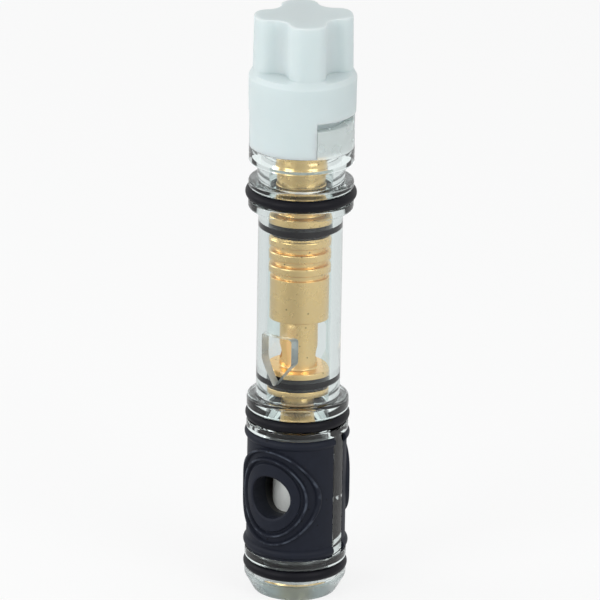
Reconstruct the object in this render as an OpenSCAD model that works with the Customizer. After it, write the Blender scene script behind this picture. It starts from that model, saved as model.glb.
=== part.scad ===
// Pressure balancing shower valve cartridge, in millimetres.
// Origin at the centre of the bottom face, +Z up the stem, inlet ports along -Y and +Y,
// ears and ribs along -X and +X.

/* [Shell lengths] */
// Height of the lead-in cone at the bottom end
lead_in_h = 3.3; // [2.6:0.1:4.5]
// Height of the plain land above the lead-in cone
end_land_h = 1.0; // [0.6:0.1:2]
// Height of the collar between the lower ring and the port seals
lower_collar_h = 2.1; // [1.2:0.1:3]
// Height of the two port seals
seal_len = 25.6; // [24.8:0.1:28]
// Height of the collar above the port seals
seal_collar_h = 1.6; // [1:0.1:2.4]
// Height of the collar above the middle ring
mid_collar_h = 2.8; // [2:0.1:4]
// Length of the plain tube
tube_len = 39.3; // [38:0.1:50]
// Height of the collar below the upper ring
upper_collar_h = 1.8; // [1.2:0.1:3]
// Height of the collar above the upper ring
clip_collar_h = 1.4; // [1:0.1:2.4]
// Width of the groove for the retaining clip
clip_groove_w = 3.8; // [3.2:0.1:5]
// Thickness of the top plate
top_plate_h = 3.3; // [2.4:0.1:4]
// Height of the two ears on the top plate
ear_h = 5.7; // [4:0.1:8]

/* [Shell diameters] */
// Diameter of the land and collars at the lower end
lower_d = 20.4; // [20.2:0.05:22]
// Radial step from the lower collars out to the upper ones
upper_step = 0.25; // [0:0.05:0.4]
// Radial depth of the lead-in cone
lead_in_t = 1.85; // [1:0.05:2.2]
// Diameter of the core under the port seals
core_d = 16.0; // [15.4:0.1:16.6]
// Diameter of the plain tube
tube_d = 16.8; // [16:0.1:18.5]
// Diameter of the bore
bore_d = 12.7; // [12.4:0.05:13]
// Diameter at the floor of the clip groove
clip_floor_d = 17.4; // [16:0.1:18.5]
// Radius on the outer edges of the collars
collar_edge = 0.35; // [0.1:0.05:0.45]
// Angle covered by each ear
ear_angle = 82; // [60:1:100]
// Radial thickness of the ears
ear_t = 2.0; // [1.4:0.1:2.4]
// Angle covered by each clear rib between the port seals
rib_angle = 20; // [16:1:40]
// Step from the rim of the top plate in to the ears
ear_inset = 0.05; // [0.05:0.05:0.4]
// Chamfer on the lower edge of the top plate
clip_chamfer = 0.2; // [0.1:0.1:0.8]
// Radius where the plain tube meets its collars
tube_fillet = 0.5; // [0.2:0.1:1]

/* [Outlet windows] */
// Width of the outlet windows
window_w = 7.2; // [5:0.1:9]
// Height of the square part of the windows
window_side_h = 5.3; // [3:0.1:7]
// Height of the pointed part of the windows
window_point_h = 5.2; // [3:0.1:5.6]
// Height of the window point above the middle collar
window_rise = 3.5; // [3:0.1:6]
// Corner radius of the windows
window_corner = 0.8; // [0.3:0.1:1.4]
// Turn of the windows away from the port axis
window_turn = -3; // [-10:1:10]

/* [Shell rings] */
// Section diameter of the three outer rings
ring_section = 2.4; // [2:0.05:2.6]
// Height of the lower and middle rings over the collars beside them
lower_ring_rise = 0.25; // [0.2:0.025:0.6]
// Height of the upper ring over the collars beside it
upper_ring_rise = 0.6; // [0.4:0.05:0.8]

/* [Port seals] */
// Diameter of the inlet ports
port_d = 8.9; // [7:0.1:9.2]
// Height of the port centre above the lower edge of the seals
port_rise = 13.2; // [12.6:0.1:14]
// Step from the collars down to the plain surface of the seals
seal_inset = 0.25; // [0.05:0.05:0.3]
// Height of the sealing lips over the plain surface of the seals
lip_rise = 0.75; // [0.5:0.025:0.9]
// Height of the disc around each port over the plain surface of the seals
boss_rise = 0.5; // [0.3:0.05:0.7]
// Half width of the outer sealing lip, an oval round the port
lip_half_w = 9.0; // [8.6:0.1:9.4]
// Half height of the outer sealing lip
lip_half_h = 9.85; // [9.5:0.05:10]
// Radius of the outer sealing lip at its top and bottom
lip_end_r = 8.3; // [7.8:0.1:8.5]
// Distance from the outer sealing lip in to the inner one
lip_spacing = 1.75; // [1.4:0.05:2.2]
// Distance from the outer sealing lip in to the disc around the port
disc_spacing = 2.6; // [2.2:0.1:3.2]
// Thickness of the sealing lips
lip_t = 0.5; // [0.4:0.05:1]
// Section diameter of the beads along the top and bottom of the seals
bead_section = 2.0; // [1.6:0.1:2.4]
// Height of the beads over the plain surface of the seals
bead_rise = 0.575; // [0.4:0.025:0.7]
// Distance of the lower bead from the lower edge
lower_bead_inset = 0.3; // [0:0.05:0.6]
// Distance of the upper bead from the upper edge
upper_bead_inset = 0.1; // [0:0.05:0.6]
// Distance of the lips from the upper and lower edge
lip_inset = 0.5; // [0.3:0.1:0.8]
// Wall of the seal spigot that passes through the core
spigot_wall = 1.0; // [0.6:0.1:1.4]
// Gap from the flat end of the spigot to the bore of the sleeve
spigot_gap = 0.25; // [0.15:0.05:0.6]

/* [Stem] */
// Diameter of the neck below the lower disc
neck_d = 6.8; // [6:0.1:8]
// Height of the neck top above the port seals
neck_top_rise = 7.95; // [6.5:0.05:8]
// Thickness of the disc under the lower stem ring
lower_disc_t = 1.3; // [1:0.1:2]
// Thickness of the disc over the lower stem ring
upper_disc_t = 1.25; // [1:0.05:2]
// Diameter of the hollow shaft
shaft_d = 7.6; // [6.8:0.1:9]
// Length of the hollow shaft
shaft_len = 10.45; // [9:0.05:12]
// Radial step from the ridges in to the smooth collar
hub_step = 0.3; // [0.1:0.05:0.8]
// Length of the smooth collar
hub_len = 8.9; // [6:0.05:10]
// Radial clearance of the ridges, discs and lands in the bore
ridge_fit = 0.15; // [0.1:0.05:0.4]
// Distance from one ridge to the next
ridge_pitch = 2.8; // [2.2:0.1:3]
// Width of the grooves between the ridges
ridge_groove_w = 1.1; // [0.8:0.1:1.4]
// Depth of the grooves between the ridges
ridge_groove_t = 0.95; // [0.5:0.05:1.4]
// Number of ridges
ridge_count = 3; // [2:1:3]
// Length of the shoulder over the last ridge
shoulder_len = 0.35; // [0.3:0.05:1.2]
// Step from the last ridge down to its shoulder
shoulder_t = 0.35; // [0.2:0.05:0.5]
// Thickness of the land over the upper stem ring
top_land_t = 2.0; // [1.5:0.1:3]
// Diameter of the bearing length in the top plate
journal_d = 10.4; // [10:0.05:10.6]
// Radial step from the bearing length in to the upper shaft
upper_shaft_step = 0.2; // [0.1:0.05:0.6]
// Length of the shallow relief below the thrust ring
relief_len = 3.0; // [2:0.1:4]
// Depth of the shallow relief below the thrust ring
relief_t = 0.2; // [0.1:0.05:0.4]
// Height of the bearing length above the top plate
journal_rise = 1.4; // [1:0.1:3]
// Radial step from the bearing length in to the handle end
handle_step = 0.45; // [0.3:0.05:1]
// Height of the stem end above the top plate
handle_end_h = 20.2; // [16:0.1:22]
// Width across the flats of the handle end
flat_w = 7.6; // [6.5:0.1:8]
// Length of the flats
flat_len = 14.0; // [10:0.1:15]
// Diameter of the handle screw hole
screw_d = 4.2; // [3.2:0.1:5]
// Depth of the handle screw hole
screw_depth = 14.0; // [8:0.1:16]
// Wall of the hollow shaft
shaft_wall = 1.3; // [0.9:0.1:1.6]
// Depth of that bore above the top of the hollow shaft
waterway_top = 4.3; // [3:0.1:6]
// Thickness left under that bore
waterway_floor_t = 0.3; // [0.2:0.1:0.6]
// Diameter of the cross hole through the hollow shaft
cross_hole_d = 3.8; // [2:0.1:4.4]
// Distance from the lower end of the hollow shaft to its cross hole
cross_hole_rise = 0.8; // [0.3:0.1:1.5]
// Turn of the cross hole from the port axis
cross_hole_turn = -58; // [-90:1:90]
// Radius on the edges of the two lower discs
disc_edge = 0.15; // [0.1:0.05:0.3]
// Radius on the edges of the ridges
ridge_edge = 0.3; // [0.1:0.05:0.4]
// Radius on the edges of the smooth collar and of the top land
hub_edge = 0.25; // [0.1:0.05:0.5]
// Chamfer on the end of the stem
stem_end_chamfer = 0.5; // [0.3:0.1:0.8]
// Section diameter of the two stem rings
stem_ring_section = 2.4; // [2:0.05:2.5]
// Width of the neck groove that holds the thrust ring
thrust_groove_w = 0.7; // [0.5:0.05:1]
// Depth of the thrust ring groove
thrust_groove_t = 0.6; // [0.4:0.05:0.8]
// Radial clearance of the thrust ring in the bore
thrust_ring_fit = 0.55; // [0.3:0.05:0.7]
// Thickness of the thrust washer
washer_t = 0.7; // [0.5:0.05:1]
// Slot in the split thrust ring
thrust_slot_w = 2.0; // [1:0.1:3]

/* [Balancing spool] */
// Wall of the spool sleeve
sleeve_wall = 1.52; // [1.32:0.05:1.7]
// Length of the stem plug inside the sleeve
plug_len = 4.5; // [4.2:0.1:5]
// Depth of the stem plug below the seal top
sleeve_top_drop = 0.4; // [0:0.1:1]
// Radial margin of the sleeve windows round the inlet ports
sleeve_window_extra = 0.25; // [0.2:0.05:0.4]
// Length of the sleeve above its upper ring groove
sleeve_land_t = 0.6; // [0.4:0.1:0.9]
// Length of the sleeve below its lower ring groove
sleeve_foot_t = 1.5; // [1:0.1:2]
// Section diameter of the two sleeve rings
spool_ring_section = 1.0; // [0.8:0.05:1.1]
// Length of the balance piston
piston_len = 16.8; // [15:0.1:17.5]
// Travel of the balance piston
piston_travel = 4.0; // [2:0.1:4.4]
// Wall of the balance piston
piston_wall = 1.4; // [1:0.1:2]
// Thickness of the web in the middle of the piston
piston_web = 2.2; // [1:0.1:3]
// Diameter of the cross holes in the piston
piston_hole_d = 1.6; // [1:0.1:2]
// Distance of the cross holes from the piston ends
piston_hole_inset = 2.4; // [1.8:0.1:3]
// Angle the cross holes in the piston are turned by
piston_hole_turn = 30; // [0:5:85]
// Distance of the oil grooves from the piston ends
oil_groove_inset = 0.9; // [0.6:0.1:1.2]
// Width of the oil grooves
oil_groove_w = 0.4; // [0.2:0.1:0.6]
// Depth of the oil grooves
oil_groove_t = 0.25; // [0.1:0.05:0.4]
// Radius on the edges of the piston
piston_edge = 0.2; // [0.1:0.05:0.4]
// Thickness of the two piston stop rings
stop_t = 1.1; // [0.8:0.1:1.4]
// Radial width of the piston stop rings
stop_w = 1.5; // [1:0.1:2]
// Diameter of the drive pin
pin_d = 1.6; // [1.2:0.1:1.8]
// Height of the drive pin above the lower face of the stem plug
pin_rise = 1.4; // [1.2:0.1:2]
// Distance of the drive pin ends from the outside of the sleeve
pin_inset = 0.15; // [0.1:0.05:0.4]
// Thickness of the flange on the spool end cap
flange_t = 1.2; // [0.8:0.1:1.6]
// Step from the sleeve in to the flange of the end cap
flange_inset = 0.05; // [0.05:0.05:0.2]
// Radius on the edges of the flange
flange_edge = 0.15; // [0.1:0.05:0.3]
// Height of the trunnion end above the bottom face
trunnion_rise = 0.4; // [0.2:0.1:0.8]
// Diameter of the trunnion on the lower end of the spool
trunnion_d = 6.8; // [5:0.1:7.5]
// Radial step of the seat for the bottom plug
plug_step = 0.85; // [0.5:0.05:1.1]
// Thickness of the bottom plug
end_plug_t = 3.0; // [2.4:0.1:3.6]

/* [Removal cap] */
// Height of the cap skirt
skirt_h = 14.3; // [13:0.1:17]
// Height of the chamfer over the skirt
cap_chamfer_h = 1.5; // [1:0.1:2.5]
// Height of the fluted grip
grip_h = 11.0; // [8:0.1:14]
// Radial overhang of the skirt over the top plate at its lower edge
skirt_overhang = 0.05; // [0.05:0.05:0.3]
// Radial flare of the skirt from its lower edge to its top
skirt_flare = 0.2; // [0.05:0.05:0.3]
// Radial step from the skirt in to the grip
grip_step = 0.8; // [0.5:0.01:1.2]
// Radial taper of the grip from the chamfer to its top
grip_taper = 0.16; // [0.1:0.02:0.5]
// Number of flutes
flute_count = 4; // [3:1:5]
// Radius of the flutes
flute_r = 3.4; // [2.6:0.1:3.6]
// Distance of the flute centres outside the foot of the grip
flute_offset = 0.12; // [0:0.02:0.6]
// Turn of the flutes away from the port axis
flute_turn = -6; // [-45:1:45]
// Rounding of the corners between flutes and lobes
lobe_corner = 1.5; // [0.6:0.1:1.8]
// Rounding of the top edge of the grip
cap_top_edge = 0.4; // [0.3:0.1:1.2]
// Wall of the skirt at its lower edge
skirt_wall = 4.1; // [3.4:0.1:4.6]
// Distance from the top of the wide skirt bore up to the chamfer
skirt_roof_t = 2.0; // [1.6:0.1:3]
// Radial clearance of the grip bore over the stem
grip_bore_fit = 0.2; // [0.1:0.05:0.5]
// Thickness of the cap top
cap_top_t = 2.4; // [1.8:0.1:3.4]
// Height of the notches over the ears
notch_extra_h = 1.6; // [0.4:0.1:2]

/* [Fits] */
// Side play of the rings in their grooves
groove_play = 0.2; // [0.2:0.05:0.5]
// Radial clearance of turning and sliding fits
running_fit = 0.05; // [0.03:0.01:0.08]
// Radial clearance of the turning sleeve in the bore
sleeve_fit = 0.08; // [0.05:0.01:0.12]
// Radial clearance of seated pieces
seat_fit = 0.02; // [0.01:0.01:0.04]
// Radial clearance of the thrust washer in the bore
washer_fit = 0.15; // [0.05:0.05:0.3]
// Angle left free on each side of the clear ribs
rib_fit_angle = 0.3; // [0.1:0.1:1]
// Side clearance of the cap notches on the ears
notch_fit = 0.15; // [0.1:0.05:0.4]

/* [Hidden] */
$fn = 96;
// Reach of shapes that cut right through
far = 60;
// How far joined shapes run into each other, and cuts run past a face
lap = 0.5;
over = 1;

// Widths of the grooves for the rings
ring_groove_w = ring_section + groove_play;
stem_groove_w = stem_ring_section + groove_play;
spool_groove_w = spool_ring_section + groove_play;

// Heights of the shell features, from the bottom up
lower_groove_z = lead_in_h + end_land_h;
lower_collar_z = lower_groove_z + ring_groove_w;
seal_z = lower_collar_z + lower_collar_h;
seal_top_z = seal_z + seal_len;
mid_groove_z = seal_top_z + seal_collar_h;
mid_collar_z = mid_groove_z + ring_groove_w;
tube_z = mid_collar_z + mid_collar_h;
upper_collar_z = tube_z + tube_len;
upper_groove_z = upper_collar_z + upper_collar_h;
clip_collar_z = upper_groove_z + ring_groove_w;
clip_groove_z = clip_collar_z + clip_collar_h;
top_plate_z = clip_groove_z + clip_groove_w;
ear_z = top_plate_z + top_plate_h;
port_z = seal_z + port_rise;
window_z = tube_z + window_rise;

// Radii of the collars, rings, seals, spigots and ears
lower_r = lower_d / 2;
upper_r = lower_r + upper_step;
lower_ring_r = lower_r + lower_ring_rise;
upper_ring_r = upper_r + upper_ring_rise;
lower_floor_r = lower_ring_r - ring_section - seat_fit;
upper_floor_r = upper_ring_r - ring_section - seat_fit;
seal_r = lower_r - seal_inset;
spigot_r = port_d / 2 + spigot_wall;
lip_end_z = lip_half_h - lip_end_r;
lip_side_r = (lip_half_w * lip_half_w + lip_end_z * lip_end_z - lip_end_r * lip_end_r)
    / (2 * (lip_half_w - lip_end_r));
ear_outer_r = upper_r - ear_inset;

// Radii of the stem
bore_r = bore_d / 2;
ridge_r = bore_r - ridge_fit;
hub_r = ridge_r - hub_step;
journal_r = journal_d / 2;
upper_shaft_r = journal_r - upper_shaft_step;
handle_end_r = journal_r - handle_step;
thrust_floor_r = journal_r - thrust_groove_t;

// Heights of the stem features
neck_top_z = seal_top_z + neck_top_rise;
lower_stem_groove_z = neck_top_z + lower_disc_t;
lower_stem_disc_z = lower_stem_groove_z + stem_groove_w;
shaft_z = lower_stem_disc_z + upper_disc_t;
hub_z = shaft_z + shaft_len;
ridge_z = hub_z + hub_len;
upper_stem_groove_z = ridge_z + ridge_count * ridge_pitch + shoulder_len;
top_land_z = upper_stem_groove_z + stem_groove_w;
washer_z = top_plate_z - washer_t - seat_fit;
thrust_ring_z = washer_z - seat_fit - thrust_groove_w;
stem_top_z = ear_z + handle_end_h;
stem_ring_r = bore_r - seat_fit;
stem_floor_r = stem_ring_r - stem_ring_section - seat_fit;
cross_hole_z = shaft_z + cross_hole_d / 2 + cross_hole_rise;

// Heights and radii of the balancing spool
sleeve_top_z = seal_top_z + sleeve_top_drop;
plug_z = sleeve_top_z - plug_len;
upper_stop_z = plug_z - stop_t;
end_plug_r = bore_r + plug_step;
flange_z = end_plug_t + seat_fit;
sleeve_z = flange_z + flange_t;
sleeve_r = bore_r - sleeve_fit;
sleeve_bore_r = sleeve_r - sleeve_wall;
sleeve_window_r = port_d / 2 + sleeve_window_extra;
plug_r = sleeve_bore_r - seat_fit;
spigot_end = sleeve_bore_r + spigot_gap;
piston_r = sleeve_bore_r - running_fit;
piston_z = upper_stop_z - piston_travel - piston_len;
lower_stop_z = piston_z - stop_t;
spool_floor_r = stem_ring_r - spool_ring_section - seat_fit;
upper_spool_groove_z = sleeve_top_z - sleeve_land_t - spool_groove_w;
lower_spool_groove_z = sleeve_z + sleeve_foot_t;
pin_z = plug_z + pin_rise;

// Heights and radii of the removal cap
cap_z = ear_z + seat_fit;
chamfer_z = cap_z + skirt_h;
grip_z = chamfer_z + cap_chamfer_h;
cap_top_z = grip_z + grip_h;
notch_top_z = ear_z + ear_h + notch_extra_h;
skirt_low_r = upper_r + skirt_overhang;
skirt_top_r = skirt_low_r + skirt_flare;
grip_low_r = skirt_top_r - grip_step;
grip_top_r = grip_low_r - grip_taper;
flute_pcr = grip_low_r + flute_offset;
grip_bore_r = journal_r + grip_bore_fit;

// Half section of a disc with rounded outer edges
module disc_profile(r, z, h, edge) {
    translate([0, z]) {
        square([r - edge, h]);
        translate([0, edge]) square([r, h - 2 * edge]);
        for (y = [edge, h - edge]) translate([r - edge, y]) circle(edge);
    }
}

// Half section of a concave fillet standing on a face at height z, against radius r
module fillet_profile(r, z, f, side) {
    translate([r, z]) difference() {
        translate([0, side < 0 ? -f : 0]) square([f, f]);
        translate([f, side * f]) circle(f);
    }
}

// Plain half section from one height to another
module band_profile(r, z0, z1) {
    translate([0, z0]) square([r, z1 - z0]);
}

// Round section ring around the axis, seen as an outer radius and a height
module o_ring(outer_r, section, z) {
    rotate_extrude() translate([outer_r - section / 2, z]) circle(section / 2);
}

// Flat ring from an inner to an outer radius
module flat_ring(inner_r, outer_r, z, h) {
    translate([0, 0, z]) difference() {
        cylinder(r = outer_r, h = h);
        translate([0, 0, -over]) cylinder(r = inner_r, h = h + 2 * over);
    }
}

// Wedge of the given angle about +X, tall enough to cut any piece
module wedge(angle, z0, z1) {
    reach = far / cos(angle / 2);
    translate([0, 0, z0]) linear_extrude(z1 - z0)
        polygon([[0, 0], [reach * cos(angle / 2), -reach * sin(angle / 2)],
                 [reach * cos(angle / 2), reach * sin(angle / 2)]]);
}

// Outline of one outlet window: square top with round corners, pointed bottom
module window_outline() {
    half_w = window_w / 2;
    translate([0, window_z]) {
        polygon([[0, 0], [half_w, window_point_h], [-half_w, window_point_h]]);
        translate([-half_w, window_point_h])
            square([window_w, window_side_h - window_corner]);
        translate([-half_w + window_corner, window_point_h])
            square([window_w - 2 * window_corner, window_side_h]);
        for (x = [-1, 1])
            translate([x * (half_w - window_corner), window_point_h + window_side_h - window_corner])
                circle(window_corner);
    }
}

// Half section of the shell outside, with its ring grooves and clip groove
module shell_profile() {
    polygon([[0, 0], [lower_r - lead_in_t, 0], [lower_r, lead_in_h],
             [lower_r, lower_groove_z], [0, lower_groove_z]]);
    band_profile(lower_floor_r, 0, seal_z);
    disc_profile(lower_r, lower_collar_z, lower_collar_h, collar_edge);
    band_profile(core_d / 2, lower_collar_z + lap, mid_groove_z - lap);
    disc_profile(lower_r, seal_top_z, seal_collar_h, collar_edge);
    band_profile(lower_floor_r, seal_top_z + lap, tube_z - lap);
    disc_profile(lower_r, mid_collar_z, mid_collar_h, 2 * collar_edge);
    band_profile(tube_d / 2, mid_collar_z + lap, upper_collar_z + lap);
    fillet_profile(tube_d / 2, tube_z, tube_fillet, 1);
    fillet_profile(tube_d / 2, upper_collar_z, tube_fillet, -1);
    disc_profile(upper_r, upper_collar_z, upper_collar_h, collar_edge);
    band_profile(upper_floor_r, upper_collar_z + lap, clip_groove_z - lap);
    disc_profile(upper_r, clip_collar_z, clip_collar_h, collar_edge);
    band_profile(clip_floor_d / 2, clip_collar_z + lap, ear_z - lap);
    polygon([[0, top_plate_z], [upper_r - clip_chamfer, top_plate_z],
             [upper_r, top_plate_z + clip_chamfer], [upper_r, ear_z], [0, ear_z]]);
}

// Clear moulded shell: bore, ring grooves, ports, ribs, outlet windows, clip groove and ears
module housing() {
    color([0.80, 0.86, 0.86, 0.35]) difference() {
        union() {
            rotate_extrude() shell_profile();
            for (side = [0, 180]) rotate(side) {
                intersection() {
                    flat_ring(core_d / 2 - lap, seal_r, seal_z - lap, seal_len + 2 * lap);
                    wedge(rib_angle, seal_z - over, seal_top_z + over);
                }
                intersection() {
                    flat_ring(ear_outer_r - ear_t, ear_outer_r, ear_z - lap, ear_h + lap);
                    wedge(ear_angle, ear_z - over, ear_z + ear_h + over);
                }
            }
        }
        translate([0, 0, -over]) cylinder(r = bore_r, h = top_plate_z + over);
        translate([0, 0, -over]) cylinder(r = end_plug_r + seat_fit, h = end_plug_t + over);
        translate([0, 0, top_plate_z - over]) cylinder(r = journal_r + running_fit, h = far);
        translate([0, far, port_z]) rotate([90, 0, 0])
            cylinder(r = spigot_r + seat_fit, h = 2 * far);
        rotate(window_turn) translate([0, far, 0]) rotate([90, 0, 0])
            linear_extrude(2 * far) window_outline();
    }
}

// Clear plug that closes the bore and carries the lower end of the spool
module end_plug() {
    color([0.80, 0.86, 0.86, 0.35])
        flat_ring(trunnion_d / 2 + running_fit, end_plug_r, 0, end_plug_t);
}

module upper_o_ring() {
    color([0.12, 0.12, 0.13]) o_ring(upper_ring_r, ring_section, upper_groove_z + ring_groove_w / 2);
}

module middle_o_ring() {
    color([0.12, 0.12, 0.13]) o_ring(lower_ring_r, ring_section, mid_groove_z + ring_groove_w / 2);
}

module lower_o_ring() {
    color([0.12, 0.12, 0.13]) o_ring(lower_ring_r, ring_section, lower_groove_z + ring_groove_w / 2);
}

// Oval of four tangent arcs, set out from the centre line of the outer lip by the given amount
module lip_outline(grow) {
    centre = lip_side_r - lip_half_w;
    joint_z = lip_end_z * (lip_side_r + grow) / (lip_side_r - lip_end_r);
    intersection() {
        translate([centre, 0]) circle(lip_side_r + grow);
        translate([-centre, 0]) circle(lip_side_r + grow);
        square([2 * far, 2 * joint_z], center = true);
    }
    for (side = [-1, 1]) translate([0, side * lip_end_z]) circle(lip_end_r + grow);
}

// Rubber pad on the -Y half of the core, with beads, two lips and a spigot through the core wall
module port_seal() {
    inner_r = core_d / 2 + seat_fit;
    clear_angle = rib_angle + 2 * rib_fit_angle;
    difference() {
        union() {
            flat_ring(inner_r, seal_r, seal_z + seat_fit, seal_len - 2 * seat_fit);
            for (z = [seal_z + bead_section / 2 + lower_bead_inset,
                      seal_top_z - bead_section / 2 - upper_bead_inset])
                o_ring(seal_r + bead_rise, bead_section, z);
            intersection() {
                flat_ring(inner_r, seal_r + lip_rise, seal_z + lip_inset, seal_len - 2 * lip_inset);
                translate([0, 0, port_z]) rotate([90, 0, 0]) linear_extrude(far)
                    for (grow = [0, -lip_spacing]) difference() {
                        lip_outline(grow + lip_t / 2);
                        lip_outline(grow - lip_t / 2);
                    }
            }
            intersection() {
                flat_ring(inner_r, seal_r + boss_rise, seal_z + lip_inset, seal_len - 2 * lip_inset);
                translate([0, 0, port_z]) rotate([90, 0, 0]) linear_extrude(far)
                    lip_outline(-disc_spacing);
            }
            intersection() {
                flat_ring(bore_r, inner_r + lap, seal_z, seal_len);
                translate([0, -spigot_end, port_z]) rotate([90, 0, 0]) cylinder(r = spigot_r, h = far);
            }
        }
        translate([0, 0, port_z]) rotate([90, 0, 0]) cylinder(r = port_d / 2, h = far);
        for (side = [0, 180]) rotate(side) wedge(clear_angle, 0, far);
        translate([-far, 0, 0]) cube([2 * far, far, far]);
    }
}

module cold_port_seal() {
    color([0.16, 0.17, 0.20]) port_seal();
}

module hot_port_seal() {
    color([0.16, 0.17, 0.20]) rotate(180) port_seal();
}

// Half section of the turned stem
module stem_profile() {
    band_profile(plug_r, plug_z, sleeve_top_z);
    band_profile(neck_d / 2, sleeve_top_z - lap, neck_top_z + lap);
    disc_profile(ridge_r, neck_top_z, lower_disc_t, disc_edge);
    band_profile(stem_floor_r, neck_top_z + lap, shaft_z - lap);
    disc_profile(ridge_r, lower_stem_disc_z, upper_disc_t, disc_edge);
    band_profile(shaft_d / 2, shaft_z - lap, hub_z + lap);
    disc_profile(hub_r, hub_z, hub_len, hub_edge);
    band_profile(ridge_r - ridge_groove_t, ridge_z - lap, upper_stem_groove_z - shoulder_len);
    for (i = [0 : ridge_count - 1])
        disc_profile(ridge_r, ridge_z + ridge_groove_w + i * ridge_pitch,
                     ridge_pitch - ridge_groove_w, ridge_edge);
    band_profile(ridge_r - shoulder_t, upper_stem_groove_z - shoulder_len - lap,
                 upper_stem_groove_z);
    band_profile(stem_floor_r, upper_stem_groove_z - lap, top_land_z + lap);
    disc_profile(ridge_r, top_land_z, top_land_t, hub_edge);
    band_profile(upper_shaft_r, top_land_z + lap, thrust_ring_z - relief_len);
    band_profile(upper_shaft_r - relief_t, top_land_z + lap, thrust_ring_z);
    band_profile(thrust_floor_r, thrust_ring_z - lap, washer_z);
    band_profile(journal_r, thrust_ring_z + thrust_groove_w, ear_z + journal_rise);
    band_profile(handle_end_r, ear_z, stem_top_z - stem_end_chamfer);
    polygon([[0, stem_top_z - 2 * stem_end_chamfer],
             [handle_end_r, stem_top_z - stem_end_chamfer],
             [handle_end_r - stem_end_chamfer, stem_top_z], [0, stem_top_z]]);
}

// Brass stem: drive plug, neck, ring grooves, hollow shaft, ridged hub and flatted handle end
module stem() {
    color([0.80, 0.62, 0.34]) difference() {
        rotate_extrude() stem_profile();
        translate([0, 0, stem_top_z - screw_depth]) cylinder(r = screw_d / 2, h = screw_depth + over);
        translate([0, 0, shaft_z + waterway_floor_t])
            cylinder(r = shaft_d / 2 - shaft_wall, h = shaft_len + waterway_top - waterway_floor_t);
        rotate(cross_hole_turn) translate([0, far, cross_hole_z])
            rotate([90, 0, 0]) cylinder(r = cross_hole_d / 2, h = 2 * far);
        for (side = [0, 180]) rotate(side)
            translate([-far, flat_w / 2, stem_top_z - flat_len]) cube([2 * far, far, far]);
        translate([-far, 0, pin_z]) rotate([0, 90, 0]) cylinder(r = pin_d / 2 + seat_fit, h = 2 * far);
    }
}

// Split brass ring that keeps the stem from rising
module thrust_ring() {
    color([0.80, 0.62, 0.34]) difference() {
        flat_ring(thrust_floor_r + seat_fit, bore_r - thrust_ring_fit,
                  thrust_ring_z + seat_fit, thrust_groove_w - 2 * seat_fit);
        translate([0, -thrust_slot_w / 2, 0]) cube([far, thrust_slot_w, 2 * far]);
    }
}

// Slippery washer between the thrust ring and the top plate
module thrust_washer() {
    color([0.90, 0.90, 0.88])
        flat_ring(journal_r + running_fit, bore_r - washer_fit, washer_z, washer_t);
}

module stem_upper_seal() {
    color([0.12, 0.12, 0.13])
        o_ring(stem_ring_r, stem_ring_section, upper_stem_groove_z + stem_groove_w / 2);
}

module stem_lower_seal() {
    color([0.12, 0.12, 0.13])
        o_ring(stem_ring_r, stem_ring_section, lower_stem_groove_z + stem_groove_w / 2);
}

// Turning sleeve with a window at each port, and a ring groove near each end
module spool_sleeve() {
    color([0.20, 0.21, 0.22]) difference() {
        flat_ring(sleeve_bore_r, sleeve_r, sleeve_z, sleeve_top_z - sleeve_z);
        for (z = [lower_spool_groove_z, upper_spool_groove_z])
            flat_ring(spool_floor_r, sleeve_r + over, z, spool_groove_w);
        translate([0, far, port_z]) rotate([90, 0, 0])
            cylinder(r = sleeve_window_r, h = 2 * far);
        translate([-far, 0, pin_z]) rotate([0, 90, 0]) cylinder(r = pin_d / 2 + seat_fit, h = 2 * far);
    }
}

// Pin that drives the sleeve from the stem
module drive_pin() {
    half_len = sleeve_r - pin_inset;
    color([0.72, 0.73, 0.74]) translate([-half_len, 0, pin_z]) rotate([0, 90, 0])
        cylinder(r = pin_d / 2, h = 2 * half_len);
}

// Brass end cap in the lower end of the sleeve, with the trunnion it turns on
module spool_end_cap() {
    color([0.80, 0.62, 0.34]) rotate_extrude() {
        band_profile(trunnion_d / 2, trunnion_rise, sleeve_z);
        disc_profile(sleeve_r - flange_inset, flange_z, flange_t, flange_edge);
        band_profile(plug_r, sleeve_z - lap, lower_stop_z);
    }
}

module spool_upper_seal() {
    color([0.12, 0.12, 0.13])
        o_ring(stem_ring_r, spool_ring_section, upper_spool_groove_z + spool_groove_w / 2);
}

module spool_lower_seal() {
    color([0.12, 0.12, 0.13])
        o_ring(stem_ring_r, spool_ring_section, lower_spool_groove_z + spool_groove_w / 2);
}

module piston_upper_stop() {
    color([0.90, 0.90, 0.88]) flat_ring(plug_r - stop_w, plug_r, upper_stop_z, stop_t);
}

module piston_lower_stop() {
    color([0.90, 0.90, 0.88]) flat_ring(plug_r - stop_w, plug_r, lower_stop_z, stop_t);
}

// Hollow piston with a web in the middle, cross holes near each end and oil grooves
module balance_piston() {
    middle_z = piston_z + piston_len / 2;
    cell_len = (piston_len - piston_web) / 2;
    color([0.76, 0.78, 0.78]) difference() {
        rotate_extrude() disc_profile(piston_r, piston_z, piston_len, piston_edge);
        for (z = [piston_z - over, middle_z + piston_web / 2])
            translate([0, 0, z]) cylinder(r = piston_r - piston_wall, h = cell_len + over);
        for (z = [piston_z + piston_hole_inset, piston_z + piston_len - piston_hole_inset])
            for (turn = [0, 90]) rotate(turn + piston_hole_turn) translate([0, far, z])
                rotate([90, 0, 0]) cylinder(r = piston_hole_d / 2, h = 2 * far);
        for (z = [piston_z + oil_groove_inset,
                  piston_z + piston_len - oil_groove_inset - oil_groove_w])
            flat_ring(piston_r - oil_groove_t, piston_r + over, z, oil_groove_w);
    }
}

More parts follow.
